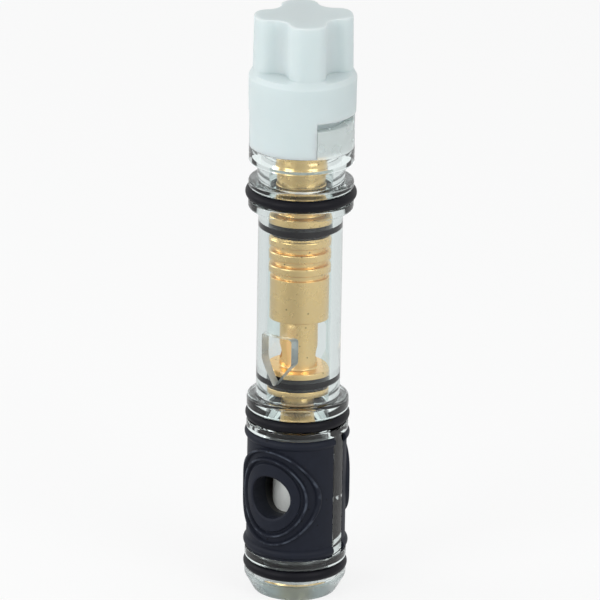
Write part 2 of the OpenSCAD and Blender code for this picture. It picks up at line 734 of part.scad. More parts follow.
// Angle from a flute centre line to the centre of the corner round beside it
function corner_angle(r) =
    let (a = r - lobe_corner, b = flute_r + lobe_corner)
    acos((a * a + flute_pcr * flute_pcr - b * b) / (2 * a * flute_pcr));

// Outline of the grip: a disc with flutes and rounded lobes
module grip_outline(r) {
    turn = corner_angle(r);
    corner = (r - lobe_corner) * [cos(turn), sin(turn)];
    flute = [flute_pcr, 0];
    rim_point = corner * r / (r - lobe_corner);
    flute_point = flute + (corner - flute) * flute_r / (flute_r + lobe_corner);
    step = 360 / flute_count;
    difference() {
        circle(r);
        for (i = [0 : flute_count - 1]) rotate(i * step) {
            translate(flute) circle(flute_r);
            for (side = [-1, 1]) scale([1, side])
                polygon([corner, rim_point, rim_point * 1.2, flute * 1.1, flute_point]);
        }
    }
    for (i = [0 : flute_count - 1], side = [-1, 1]) rotate(i * step)
        translate([corner[0], side * corner[1]]) circle(lobe_corner);
}

// Half section of the cap outside
module cap_profile() {
    polygon([[0, cap_z], [skirt_low_r, cap_z], [skirt_top_r, chamfer_z],
             [grip_low_r, grip_z], [grip_top_r, cap_top_z - cap_top_edge],
             [grip_top_r - cap_top_edge, cap_top_z - cap_top_edge],
             [grip_top_r - cap_top_edge, cap_top_z], [0, cap_top_z]]);
    translate([grip_top_r - cap_top_edge, cap_top_z - cap_top_edge]) circle(cap_top_edge);
}

// Moulded cap with slots for the ears, a bore over the stem end and a fluted grip
module removal_cap() {
    notch_angle = ear_angle + 2 * asin(notch_fit / ear_outer_r);
    notch_floor_r = ear_outer_r - ear_t - notch_fit;
    color([0.92, 0.95, 0.94]) difference() {
        intersection() {
            rotate_extrude() cap_profile();
            union() {
                translate([0, 0, cap_z - over]) cylinder(r = skirt_top_r + over, h = grip_z - cap_z + over);
                translate([0, 0, grip_z - over])
                    linear_extrude(grip_h + 2 * over) rotate(flute_turn) grip_outline(grip_low_r);
            }
        }
        translate([0, 0, cap_z - over]) cylinder(r = skirt_low_r - skirt_wall, h = skirt_h - skirt_roof_t + over);
        translate([0, 0, cap_z]) cylinder(r = grip_bore_r, h = cap_top_z - cap_top_t - cap_z);
        for (side = [0, 180]) rotate(side) intersection() {
            wedge(notch_angle, cap_z - 2 * over, notch_top_z + over);
            flat_ring(notch_floor_r, skirt_top_r + over, cap_z - over, notch_top_z - cap_z + over);
        }
    }
}

housing();
end_plug();
upper_o_ring();
middle_o_ring();
lower_o_ring();
cold_port_seal();
hot_port_seal();
stem();
thrust_ring();
thrust_washer();
stem_upper_seal();
stem_lower_seal();
spool_sleeve();
drive_pin();
spool_end_cap();
spool_upper_seal();
spool_lower_seal();
piston_upper_stop();
piston_lower_stop();
balance_piston();
removal_cap();
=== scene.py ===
import math
import bpy
from mathutils import Matrix, Vector


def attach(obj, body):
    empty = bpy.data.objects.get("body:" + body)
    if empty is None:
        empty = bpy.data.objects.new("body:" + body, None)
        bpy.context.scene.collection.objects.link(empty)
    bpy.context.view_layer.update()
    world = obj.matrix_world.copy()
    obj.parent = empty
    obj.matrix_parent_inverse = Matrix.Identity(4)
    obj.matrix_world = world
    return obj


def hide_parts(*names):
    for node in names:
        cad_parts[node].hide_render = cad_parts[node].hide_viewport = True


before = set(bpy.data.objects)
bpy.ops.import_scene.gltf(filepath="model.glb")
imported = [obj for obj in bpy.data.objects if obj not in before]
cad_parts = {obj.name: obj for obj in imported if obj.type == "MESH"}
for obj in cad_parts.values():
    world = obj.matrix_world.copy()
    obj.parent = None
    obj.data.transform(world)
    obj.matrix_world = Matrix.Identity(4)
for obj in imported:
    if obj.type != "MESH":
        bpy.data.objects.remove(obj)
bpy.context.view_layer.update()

# Camera: a long lens, 32 degrees round from the near inlet port and about 20 degrees above it. It
# looks at the middle of the cartridge, which leans by a degree in the picture.
turn = math.radians(32.0)
tilt = math.radians(19.7)
lean = math.radians(0.95)
distance = 1.35
aim = Vector((0, 0, 0.0611))
picture_width = 600
pixels_per_mm = 5.03
pixels_aside = 0.7
towards = Vector((math.sin(turn) * math.cos(tilt), -math.cos(turn) * math.cos(tilt), math.sin(tilt)))
lens = bpy.data.cameras.new("camera")
lens.sensor_width = 36
lens.lens = pixels_per_mm * (distance * 1000) * lens.sensor_width / picture_width
lens.shift_x = pixels_aside / picture_width
lens.clip_end = 20
camera = bpy.data.objects.new("camera", lens)
bpy.context.scene.collection.objects.link(camera)
camera.matrix_world = (Matrix.Translation(aim + towards * distance)
                       @ (-towards).to_track_quat("-Z", "Y").to_matrix().to_4x4()
                       @ Matrix.Rotation(lean, 4, "Z"))
bpy.context.scene.camera = camera
bpy.context.scene.view_settings.view_transform = "Standard"


# Studio: a plain pale table, three soft boxes and an even room. The camera, gloss and clear
# plastic see the room as plain white.
def linear(hex_colour):
    """sRGB hex to the linear colour that a shader socket takes."""
    parts = [int(hex_colour[i:i + 2], 16) / 255 for i in (1, 3, 5)]
    return [p / 12.92 if p <= 0.04045 else ((p + 0.055) / 1.055) ** 2.4 for p in parts] + [1]


def add_node(tree, kind, settings=None, links=None):
    """One node with its settings and links, by the names of its sockets."""
    node = tree.nodes.new(kind)
    for name, value in (settings or {}).items():
        if name in node.inputs:
            node.inputs[name].default_value = value
        else:
            setattr(node, name, value)
    for name, socket in (links or {}).items():
        tree.links.new(socket, node.inputs[name])
    return node


def seen_directly(tree):
    """Socket that is 1 for camera, glossy and transmission rays, and 0 for rays that only light."""
    rays = add_node(tree, "ShaderNodeLightPath")
    mirrored = add_node(tree, "ShaderNodeMath", {"operation": "MAXIMUM"},
                        {0: rays.outputs["Is Camera Ray"], 1: rays.outputs["Is Glossy Ray"]})
    seen = add_node(tree, "ShaderNodeMath", {"operation": "MAXIMUM"},
                    {0: mirrored.outputs[0], 1: rays.outputs["Is Transmission Ray"]})
    return seen.outputs[0]


room = bpy.data.worlds.new("studio_room")
bpy.context.scene.world = room
room.use_nodes = True
tree = room.node_tree
room_light = 0.62
level = add_node(tree, "ShaderNodeMapRange", {"To Min": room_light, "To Max": 1.0},
                 {"Value": seen_directly(tree)})
backdrop = tree.nodes["Background"]
backdrop.inputs["Color"].default_value = linear("#FFFFFF")
tree.links.new(level.outputs["Result"], backdrop.inputs["Strength"])

for name, spot, size, power in (("soft_box_front", (-0.2, -0.85, 0.4), 0.45, 2.6),
                                ("soft_box_left", (-0.8, -0.35, 0.35), 0.4, 1.6),
                                ("soft_box_right", (0.75, -0.2, 0.5), 0.45, 2.0)):
    lamp = bpy.data.lights.new(name, "AREA")
    lamp.shape = "SQUARE"
    lamp.size = size
    lamp.energy = power
    holder = bpy.data.objects.new(name, lamp)
    bpy.context.scene.collection.objects.link(holder)
    holder.location = spot
    holder.rotation_euler = (aim - Vector(spot)).to_track_quat("-Z", "Y").to_euler()

bpy.ops.object.select_all(action="DESELECT")
bpy.ops.mesh.primitive_plane_add(size=8, location=(0, 0, 0))
table = bpy.context.object
table.name = "table"

# White paper: four fifths plain white to the camera, one fifth lit by the lamps, which keeps the
# shadow. For gloss and clear plastic, its glow has painted shades like a studio floor: darker in
# front and brightest to the right. They go by the bearing round the part.
paper = bpy.data.materials.new("white_paper_sweep")
paper.use_nodes = True
tree = paper.node_tree
matt = tree.nodes["Principled BSDF"]
matt.inputs["Base Color"].default_value = linear("#F4F5F5")
matt.inputs["Roughness"].default_value = 0.9
place = add_node(tree, "ShaderNodeTexCoord")
ahead = add_node(tree, "ShaderNodeVectorMath", {"operation": "DOT_PRODUCT"},
                 {0: place.outputs["Object"]})
ahead.inputs[1].default_value = (math.sin(turn), -math.cos(turn), 0)
aside = add_node(tree, "ShaderNodeVectorMath", {"operation": "DOT_PRODUCT"},
                 {0: place.outputs["Object"]})
aside.inputs[1].default_value = (math.cos(turn), math.sin(turn), 0)
bearing = add_node(tree, "ShaderNodeMath", {"operation": "ARCTAN2"},
                   {0: aside.outputs["Value"], 1: ahead.outputs["Value"]})
way_round = add_node(tree, "ShaderNodeMapRange", {"From Min": -math.pi, "From Max": math.pi},
                     {"Value": bearing.outputs[0]})
# Painted shade: the grey of the glow that gloss and clear plastic see, by bearing round the part.
shades = add_node(tree, "ShaderNodeValToRGB", None, {"Fac": way_round.outputs["Result"]})
stops = shades.color_ramp.elements
far_side = 0.77
stops[0].position = 0.12
stops[1].position = 0.86
for stop in stops:
    stop.color = (far_side, far_side, far_side, 1)
for position, grey in ((0.2, 0.68), (0.3, 0.84), (0.4, 0.58), (0.48, 0.6), (0.57, 0.94),
                       (0.66, 1), (0.75, 1)):
    stops.new(position).color = (grey, grey, grey, 1)
shaded = add_node(tree, "ShaderNodeEmission", {"Strength": 1.0}, {"Color": shades.outputs["Color"]})
white = add_node(tree, "ShaderNodeEmission", {"Color": linear("#FFFFFF"), "Strength": 1.0})
rays = add_node(tree, "ShaderNodeLightPath")
glow = add_node(tree, "ShaderNodeMixShader", None,
                {0: rays.outputs["Is Camera Ray"], 1: shaded.outputs[0], 2: white.outputs[0]})
glow_share = add_node(tree, "ShaderNodeMapRange", {"To Max": 0.8}, {"Value": seen_directly(tree)})
mix = add_node(tree, "ShaderNodeMixShader", None,
               {0: glow_share.outputs[0], 1: matt.outputs[0], 2: glow.outputs[0]})
tree.links.new(mix.outputs[0], tree.nodes["Material Output"].inputs["Surface"])
table.data.materials.append(paper)


# Housing: the clear casing, injection moulded in one piece, with grooves for three outer rings,
# a round opening at each inlet, two ribs between the port seals, two outlet windows, the groove
# for the retaining clip and two ears on top.
MM = 0.001


def soften(corners):
    """Points of an outline in mm. A corner with a third number is rounded to that radius."""
    degrees_per_step = 15
    points = []
    for i, corner in enumerate(corners):
        here = Vector(corner[:2])
        if len(corner) == 2:
            points.append(here)
            continue
        before = (Vector(corners[i - 1][:2]) - here).normalized()
        after = (Vector(corners[(i + 1) % len(corners)][:2]) - here).normalized()
        half = before.angle(after) / 2
        centre = here + (before + after).normalized() * corner[2] / math.sin(half)
        start = here + before * corner[2] / math.tan(half) - centre
        end = here + after * corner[2] / math.tan(half) - centre
        sweep = math.pi - 2 * half
        steps = max(2, round(math.degrees(sweep) / degrees_per_step))
        for k in range(steps + 1):
            t = k / steps
            points.append(centre + (start * math.sin((1 - t) * sweep) + end * math.sin(t * sweep))
                          / math.sin(sweep))
    return points


def draw(name, points, longest=100.0):
    """A closed outline in the XZ plane, drawn on from one vertex. Points and longest edge in mm."""
    bpy.ops.object.select_all(action="DESELECT")
    bpy.ops.mesh.primitive_plane_add(size=MM)
    piece = bpy.context.object
    piece.name = name
    bpy.ops.object.mode_set(mode="EDIT")
    bpy.ops.mesh.merge(type="CENTER")
    bpy.ops.mesh.select_all(action="SELECT")
    bpy.ops.transform.translate(value=(points[0][0] * MM, 0, points[0][1] * MM))
    path = list(points) + [points[0]]
    for start, end in zip(path, path[1:]):
        step = Vector(end) - Vector(start)
        parts = max(1, math.ceil(step.length / longest))
        for _ in range(parts):
            bpy.ops.mesh.extrude_region_move(
                TRANSFORM_OT_translate={"value": (step[0] / parts * MM, 0, step[1] / parts * MM)})
    bpy.ops.mesh.select_all(action="SELECT")
    return piece


def smooth(piece, angle=32):
    """Shade smooth where faces meet at less than angle, in degrees."""
    bpy.ops.object.select_all(action="DESELECT")
    piece.select_set(True)
    bpy.context.view_layer.objects.active = piece
    bpy.ops.object.shade_smooth_by_angle(angle=math.radians(angle))


def turned(name, points, longest=100.0, angle=360, steps=180):
    """A closed outline spun about the stem axis, from +X on and anticlockwise seen from above."""
    piece = draw(name, points, longest)
    bpy.ops.mesh.spin(steps=steps, angle=-math.radians(angle), center=(0, 0, 0), axis=(0, 0, 1))
    bpy.ops.mesh.select_all(action="SELECT")
    bpy.ops.mesh.remove_doubles(threshold=1e-6)
    bpy.ops.mesh.delete_loose()
    if angle < 360:
        bpy.ops.mesh.select_all(action="DESELECT")
        bpy.ops.mesh.select_non_manifold()
        bpy.ops.mesh.fill_holes(sides=0)
    bpy.ops.mesh.select_all(action="SELECT")
    bpy.ops.mesh.normals_make_consistent(inside=False)
    bpy.ops.object.mode_set(mode="OBJECT")
    smooth(piece)
    return piece


def swing(piece, degrees):
    """Turn a finished mesh about the stem axis."""
    piece.data.transform(Matrix.Rotation(math.radians(degrees), 4, "Z"))


def rod(name, radius, length, place, tilt=(0, 0, 0), sides=96):
    """A plain cylinder, in mm and degrees, that cuts or adds to a piece."""
    bpy.ops.object.select_all(action="DESELECT")
    bpy.ops.mesh.primitive_cylinder_add(vertices=sides, radius=radius * MM, depth=length * MM,
                                        location=Vector(place) * MM,
                                        rotation=[math.radians(t) for t in tilt])
    bpy.ops.object.transform_apply()
    bpy.context.object.name = name
    return bpy.context.object


def join_by(piece, tool, operation="DIFFERENCE"):
    """Cut away or add a tool shape, then take the tool away."""
    change = piece.modifiers.new("tool", "BOOLEAN")
    change.operation = operation
    change.solver = "EXACT"
    change.object = tool
    bpy.ops.object.select_all(action="DESELECT")
    piece.select_set(True)
    bpy.context.view_layer.objects.active = piece
    bpy.ops.object.modifier_apply(modifier="tool")
    bpy.data.objects.remove(tool)


# Half section of the casing from the bottom up: radius, height and corner radius.
shell_outline = soften([
    (7.22, 0), (8.35, 0, 0.15), (10.2, 3.3, 0.4), (10.2, 4.3, 0.1), (8.04, 4.3, 0.15),
    (8.04, 6.9, 0.15), (10.2, 6.9, 0.35), (10.2, 9.0, 0.1), (8.0, 9.0, 0.1), (8.0, 34.6, 0.1),
    (10.2, 34.6, 0.1), (10.2, 36.2, 0.35), (8.04, 36.2, 0.15), (8.04, 38.8, 0.15),
    (10.2, 38.8, 0.35), (10.2, 41.6, 0.7), (8.4, 41.6, 0.5), (8.4, 80.9, 0.5),
    (10.45, 80.9, 0.35), (10.45, 82.7, 0.3), (8.63, 82.7, 0.15), (8.63, 85.3, 0.15),
    (10.45, 85.3, 0.3), (10.45, 86.7, 0.45), (8.7, 86.7, 0.15), (8.7, 90.5, 0.15),
    (10.25, 90.5, 0.1), (10.45, 90.7, 0.1), (10.45, 93.8, 0.15), (5.25, 93.8, 0.1), (5.25, 90.5),
    (6.35, 90.5), (6.35, 3.02), (7.22, 3.02)])
housing = turned("clear_housing", shell_outline, longest=6.0)

# The ribs and ears stand on both sides, in line with X. The ports look along Y.
rib_angle = 20
ear_angle = 82
for side in (0, 180):
    rib = turned("rib", [(7.4, 8.4), (9.95, 8.4), (9.95, 35.2), (7.4, 35.2)],
                 longest=9.0, angle=rib_angle, steps=20)
    rounding = rib.modifiers.new("rounding", "BEVEL")
    rounding.width = 0.5 * MM
    rounding.segments = 4
    rounding.limit_method = "ANGLE"
    bpy.ops.object.modifier_apply(modifier="rounding")
    swing(rib, side - rib_angle / 2)
    join_by(housing, rib, "UNION")
    ear = turned("ear", soften([(8.4, 93.2), (10.4, 93.2), (10.4, 99.5, 0.4), (8.4, 99.5, 0.4)]),
                 longest=9.0, angle=ear_angle, steps=41)
    swing(ear, side - ear_angle / 2)
    join_by(housing, ear, "UNION")
port_z = 22.2
join_by(housing, rod("port", 5.47, 40, (0, 0, port_z), (90, 0, 0), 128))

# The window: a square top with rounded corners over a point, cut right through both walls.
window_foot, window_shoulder, window_top = 45.1, 50.3, 55.6
window_side = 3.6
window_outline = soften([(0, window_foot, 0.25), (window_side, window_shoulder, 0.9),
                         (window_side, window_top, 0.8), (-window_side, window_top, 0.8),
                         (-window_side, window_shoulder, 0.9)])
window = draw("window", window_outline)
bpy.ops.mesh.remove_doubles(threshold=1e-6)
bpy.ops.mesh.edge_face_add()
window_depth, window_turn = 0.04, -3
bpy.ops.mesh.extrude_region_move(TRANSFORM_OT_translate={"value": (0, window_depth, 0)})
bpy.ops.mesh.select_all(action="SELECT")
bpy.ops.mesh.normals_make_consistent(inside=False)
bpy.ops.object.mode_set(mode="OBJECT")
window.data.transform(Matrix.Rotation(math.radians(window_turn), 4, "Z")
                      @ Matrix.Translation((0, -window_depth / 2, 0)))
join_by(housing, window)
smooth(housing)

# Clear moulded polycarbonate: polished mould, a cool grey-green cast where it is thick, and
# faint flow waves, about 4 mm long, that bend what is seen through the wall a little.
clear_plastic = bpy.data.materials.new("clear_moulded_polycarbonate")
clear_plastic.use_nodes = True
tree = clear_plastic.node_tree
shader = tree.nodes["Principled BSDF"]
shader.inputs["Transmission Weight"].default_value = 1.0
shader.inputs["IOR"].default_value = 1.5
place = add_node(tree, "ShaderNodeTexCoord")
cast = add_node(tree, "ShaderNodeTexNoise", {"Scale": 120.0, "Detail": 2.0},
                {"Vector": place.outputs["Object"]})
tint = add_node(tree, "ShaderNodeMix", {"data_type": "RGBA"}, {"Factor": cast.outputs["Fac"]})
tint.inputs["A"].default_value = linear("#E9F3F2")
tint.inputs["B"].default_value = linear("#F0F8F7")
tree.links.new(tint.outputs["Result"], shader.inputs["Base Color"])
wave = add_node(tree, "ShaderNodeTexNoise", {"Scale": 260.0, "Detail": 1.0, "Roughness": 0.4},
                {"Vector": place.outputs["Object"]})
polish = add_node(tree, "ShaderNodeMapRange", {"To Min": 0.02, "To Max": 0.05},
                  {"Value": wave.outputs["Fac"]})
tree.links.new(polish.outputs["Result"], shader.inputs["Roughness"])
ripple = add_node(tree, "ShaderNodeBump", {"Strength": 0.12, "Distance": 0.00004},
                  {"Height": wave.outputs["Fac"]})
tree.links.new(ripple.outputs["Normal"], shader.inputs["Normal"])
housing.data.materials.clear()
housing.data.materials.append(clear_plastic)

# Two more finishes of the same plastic. The ears and the walls of the windows come from unpolished
# faces of the mould and look frosted. The lead-in and the end plug are thick, grey and a little dull.
frosted_plastic = clear_plastic.copy()
frosted_plastic.name = "frosted_moulded_faces"
dull_plastic = clear_plastic.copy()
dull_plastic.name = "frosted_lead_in"
for finish, clear, low, high in ((frosted_plastic, 0.5, 0.2, 0.32), (dull_plastic, 0.92, 0.22, 0.34)):
    for node in list(finish.node_tree.nodes):
        if node.bl_idname == "ShaderNodeBsdfPrincipled":
            node.inputs["Transmission Weight"].default_value = clear
        if node.bl_idname == "ShaderNodeMapRange":
            node.inputs["To Min"].default_value = low
            node.inputs["To Max"].default_value = high
        if node.bl_idname == "ShaderNodeMix" and finish is dull_plastic:
            node.inputs["A"].default_value = linear("#CFDADA")
            node.inputs["B"].default_value = linear("#DCE6E6")
    housing.data.materials.append(finish)
ear_foot, lead_in_top = 93.9, 3.4
inner_wall, outer_wall, bore_mouth = 6.4, 8.36, 7.1
for face in housing.data.polygons:
    height = face.center.z / MM
    across = math.hypot(face.center.x, face.center.y) / MM
    in_window = window_foot < height < window_top and inner_wall < across < outer_wall
    if height > ear_foot or in_window:
        face.material_index = 1
    if height < lead_in_top and across > bore_mouth:
        face.material_index = 2
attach(housing, "housing")
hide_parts("housing")


# End plug: a clear moulded disc pressed into the bottom of the bore, with the hole in which the
# trunnion of the spool turns.
end_plug = turned("clear_end_plug", soften([(3.46, 0, 0.2), (7.2, 0, 0.25), (7.2, 3.0, 0.15),
                                            (3.46, 3.0, 0.15)]))
end_plug.data.materials.append(dull_plastic)
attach(end_plug, "housing")
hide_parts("end_plug")


# Outer rings: three moulded nitrile O-rings stretched into the grooves of the casing. Where a
# ring presses on the floor of its groove it is squeezed flat.
def squeezed_ring(name, centre_r, centre_z, section_r, low_r, high_r=99, inner=1.0, outer=1.0):
    """Round ring in mm, stretched inwards or outwards and cut off flat at low_r and high_r."""
    points = []
    for degrees in range(0, 360, 5):
        angle = math.radians(degrees + 2.5)
        reach = section_r * (outer if math.cos(angle) > 0 else inner)
        r = centre_r + reach * math.cos(angle)
        points.append((min(max(r, low_r), high_r), centre_z + section_r * math.sin(angle)))
    return turned(name, points, steps=192)


# Moulded nitrile rubber: almost black with a soft, dull sheen, and a faint bloom in blotches of
# about 1 mm.
rubber = bpy.data.materials.new("moulded_nitrile_rubber")
rubber.use_nodes = True
tree = rubber.node_tree
shader = tree.nodes["Principled BSDF"]
place = add_node(tree, "ShaderNodeTexCoord")
bloom = add_node(tree, "ShaderNodeTexNoise", {"Scale": 900.0, "Detail": 4.0},
                 {"Vector": place.outputs["Object"]})
shade = add_node(tree, "ShaderNodeMix", {"data_type": "RGBA"}, {"Factor": bloom.outputs["Fac"]})
shade.inputs["A"].default_value = linear("#0D0D12")
shade.inputs["B"].default_value = linear("#15151C")
tree.links.new(shade.outputs["Result"], shader.inputs["Base Color"])
shader.inputs["Specular IOR Level"].default_value = 0.13
matt = add_node(tree, "ShaderNodeMapRange", {"To Min": 0.36, "To Max": 0.52},
                {"Value": bloom.outputs["Fac"]})
tree.links.new(matt.outputs["Result"], shader.inputs["Roughness"])
skin = add_node(tree, "ShaderNodeBump", {"Strength": 0.15, "Distance": 0.00003},
                {"Height": bloom.outputs["Fac"]})
tree.links.new(skin.outputs["Normal"], shader.inputs["Normal"])

for name, node, centre_r, centre_z, floor_r in (
        ("upper_outer_ring", "upper_o_ring", 9.85, 84.0, 8.615),
        ("middle_outer_ring", "middle_o_ring", 9.25, 37.5, 8.03),
        ("lower_outer_ring", "lower_o_ring", 9.25, 5.6, 8.03)):
    ring = squeezed_ring(name, centre_r, centre_z, section_r=1.2, low_r=floor_r, inner=1.2)
    ring.data.materials.append(rubber)
    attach(ring, "housing")
    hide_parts(node)


# Port seals: two moulded rubber pads that fill the pockets in the casing. Each has a bead along
# its top and bottom, two thin raised lips round the port, a smooth disc round the hole, and a
# spigot that goes through the wall of the casing to the spool.
pad_r = 9.95
port_r = 4.45


def inside_lip(x, off):
    """How far a point lies inside the centre line of the outer lip, an oval of four round arcs."""
    side_arc_r, side_arc_back = 10.366, 1.366
    end_arc_r, end_arc_off = 8.3, 1.55
    slope_where_they_meet = 1.135
    if off > (x + side_arc_back) * slope_where_they_meet:
        return end_arc_r - math.hypot(x, off - end_arc_off)
    return side_arc_r - math.hypot(x + side_arc_back, off)


def pad_surface(x, z):
    """Radius of the outside of the pad in mm, at x across and z along the casing."""
    narrowing = 1.06
    lip_depths, lip_half_width, lip_height = (0, 1.75), 0.36, 0.75
    disc_depth, disc_slope, disc_height = 2.55, 0.3, 0.5
    rim_width, rim_drop = 0.5, 0.3
    bead_heights, bead_centre_r, bead_r = (10.3, 33.5), 9.525, 1.0
    radius = pad_r
    across = abs(x) * narrowing
    off = abs(z - port_z)
    depth = inside_lip(across, off)
    for lip in lip_depths:
        side = abs(depth - lip) / lip_half_width
        if side < 1:
            radius = max(radius, pad_r + lip_height * (1 - side ** 4))
    if depth > disc_depth:
        disc = min(1.0, (depth - disc_depth) / disc_slope)
        rim = max(0.0, 1 - (math.hypot(across, off) - port_r) / rim_width)
        radius = max(radius, pad_r + disc_height * disc * (2 - disc) - rim_drop * min(1, rim) ** 2)
    for bead_z in bead_heights:
        off = abs(z - bead_z)
        if off < bead_r:
            radius = max(radius, bead_centre_r + math.sqrt(bead_r ** 2 - off * off))
    return radius


# Moulded EPDM rubber: black with a blue cast and a soft sheen. The crests of the lips are painted
# lighter in patches of about 2 mm, partly dust and partly a painted highlight. There are a few dark
# pits.
pad_rubber = bpy.data.materials.new("moulded_epdm_rubber")
pad_rubber.use_nodes = True
tree = pad_rubber.node_tree
shader = tree.nodes["Principled BSDF"]
place = add_node(tree, "ShaderNodeTexCoord")
bloom = add_node(tree, "ShaderNodeTexNoise", {"Scale": 700.0, "Detail": 5.0},
                 {"Vector": place.outputs["Object"]})
shade = add_node(tree, "ShaderNodeMix", {"data_type": "RGBA"}, {"Factor": bloom.outputs["Fac"]})
shade.inputs["A"].default_value = linear("#181B24")
shade.inputs["B"].default_value = linear("#20242F")
flat = add_node(tree, "ShaderNodeVectorMath", {"operation": "MULTIPLY"}, {0: place.outputs["Object"]})
flat.inputs[1].default_value = (1, 1, 0)
across = add_node(tree, "ShaderNodeVectorMath", {"operation": "LENGTH"}, {0: flat.outputs["Vector"]})
# Crests of the lips, painted lighter in patches: partly dust, partly a painted highlight.
crest_foot_r, crest_top_r = 10.6, 10.7
crest = add_node(tree, "ShaderNodeMapRange",
                 {"From Min": crest_foot_r * MM, "From Max": crest_top_r * MM},
                 {"Value": across.outputs["Value"]})
dust_and_highlight_patches = add_node(tree, "ShaderNodeTexNoise", {"Scale": 420.0, "Detail": 4.0},
                {"Vector": place.outputs["Object"]})
patch = add_node(tree, "ShaderNodeMapRange", {"From Min": 0.45, "From Max": 0.62},
                 {"Value": dust_and_highlight_patches.outputs["Fac"]})
both = add_node(tree, "ShaderNodeMath", {"operation": "MULTIPLY"},
                {0: crest.outputs["Result"], 1: patch.outputs["Result"]})
dust_and_highlight = add_node(tree, "ShaderNodeMix", {"data_type": "RGBA"},
                 {"Factor": both.outputs[0], "A": shade.outputs["Result"]})
dust_and_highlight.inputs["B"].default_value = linear("#424853")
pits = add_node(tree, "ShaderNodeTexVoronoi", {"Scale": 480.0, "Randomness": 1.0},
                {"Vector": place.outputs["Object"]})
pit = add_node(tree, "ShaderNodeMapRange",
               {"From Min": 0.06, "From Max": 0.12, "To Min": 1.0, "To Max": 0.0},
               {"Value": pits.outputs["Distance"]})
pitted = add_node(tree, "ShaderNodeMix", {"data_type": "RGBA"},
                  {"Factor": pit.outputs["Result"], "A": dust_and_highlight.outputs["Result"]})
pitted.inputs["B"].default_value = linear("#08090C")
tree.links.new(pitted.outputs["Result"], shader.inputs["Base Color"])
shader.inputs["Specular IOR Level"].default_value = 0.13
matt = add_node(tree, "ShaderNodeMapRange", {"To Min": 0.42, "To Max": 0.6},
                {"Value": bloom.outputs["Fac"]})
tree.links.new(matt.outputs["Result"], shader.inputs["Roughness"])
skin = add_node(tree, "ShaderNodeBump", {"Strength": 0.2, "Distance": 0.00004},
                {"Height": bloom.outputs["Fac"]})
tree.links.new(skin.outputs["Normal"], shader.inputs["Normal"])

# The pad starts as a plain curved wall about the port. Its outside, drawn in fine rows, is then
# raised to the lips, the disc and the beads.
pad_back_r, pad_foot, pad_top = 8.02, 9.02, 34.58
pad_length, pad_angle, rows = 25.56, 159.4, 220
outside_from = 9.9
section = [(pad_back_r, pad_foot)]
section += [(pad_r, pad_foot + pad_length * k / rows) for k in range(rows)]
section += [(pad_r, pad_top), (pad_back_r, pad_top)]
cold_pad = turned("cold_port_pad", section, angle=pad_angle, steps=250)
swing(cold_pad, 270 - pad_angle / 2)
for vertex in cold_pad.data.vertices:
    r = math.hypot(vertex.co.x, vertex.co.y)
    if r > outside_from * MM:
        vertex.co.x, vertex.co.y = (Vector((vertex.co.x, vertex.co.y))
                                    * pad_surface(vertex.co.x / MM, vertex.co.z / MM) * MM / r)
join_by(cold_pad, rod("spigot", 5.45, 4.6, (0, -6.4, port_z), (90, 0, 0), 96), "UNION")
join_by(cold_pad, rod("bore", 6.36, 30, (0, 0, port_z), (0, 0, 0), 144))
join_by(cold_pad, rod("port", port_r, 10, (0, -8.4, port_z), (90, 0, 0), 128))
smooth(cold_pad, angle=40)
cold_pad.data.materials.append(pad_rubber)
hot_pad = bpy.data.objects.new("hot_port_pad", cold_pad.data.copy())
bpy.context.scene.collection.objects.link(hot_pad)
swing(hot_pad, 180)
for pad, node in ((cold_pad, "cold_port_seal"), (hot_pad, "hot_port_seal")):
    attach(pad, "housing")
    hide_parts(node)


# Stem: turned from one brass bar, with a hollow shaft, a smooth collar, three ridges, two ring
# grooves, the neck that turns in the top plate and the flatted end that carries the handle. The
# outline is a half section, from the middle of the foot up to the top and down the inside.
stem_outline = soften([
    (0, 30.5), (4.73, 30.5, 0.2), (4.73, 35.0, 0.3), (3.4, 35.0, 0.2), (3.4, 42.55, 0.3),
    (6.2, 42.55, 0.15), (6.2, 43.85, 0.15), (3.91, 43.85), (3.91, 46.45), (6.2, 46.45, 0.15),
    (6.2, 47.7, 0.2), (3.8, 47.7, 0.35), (3.8, 58.15, 0.2), (5.9, 58.15, 0.3), (5.9, 67.05, 0.1),
    (5.25, 67.05, 0.12), (5.25, 68.15, 0.12), (6.2, 68.15, 0.35), (6.2, 69.85, 0.35),
    (5.25, 69.85, 0.12), (5.25, 70.95, 0.12), (6.2, 70.95, 0.35), (6.2, 72.65, 0.35),
    (5.25, 72.65, 0.12), (5.25, 73.75, 0.12), (6.2, 73.75, 0.35), (6.2, 75.1, 0.3),
    (5.85, 75.45, 0.1), (5.85, 75.8, 0.1), (3.91, 75.8), (3.91, 78.4), (6.2, 78.4, 0.2),
    (6.2, 80.4, 0.25), (5.0, 80.4, 0.2), (5.0, 86.0), (4.8, 86.2), (4.8, 89.06),
    (4.6, 89.06), (4.6, 89.76), (5.2, 89.76, 0.1), (5.2, 95.2, 0.3), (4.75, 95.4),
    (4.75, 114.0, 0.5), (2.1, 114.0, 0.2), (2.1, 100.0), (0, 99.4), (0, 60.2), (2.5, 58.9),
    (2.5, 48.0), (0, 48.0)])
stem = turned("brass_stem", stem_outline)
join_by(stem, rod("cross_hole", 1.9, 30, (0, 0, 50.4), (90, 0, 122), 64))

# The two flats: a block on each side mills the handle end away from 100 mm up.
flat_off, flat_foot = 3.8, 100
block_width, block_depth, block_height = 20, 10, 15
for side in (-1, 1):
    bpy.ops.object.select_all(action="DESELECT")
    bpy.ops.mesh.primitive_cube_add(
        size=1,
        location=(0, side * (flat_off + block_depth / 2) * MM, (flat_foot + block_height / 2) * MM),
        scale=(block_width * MM, block_depth * MM, block_height * MM))
    bpy.ops.object.transform_apply()
    join_by(stem, bpy.context.object)
smooth(stem)

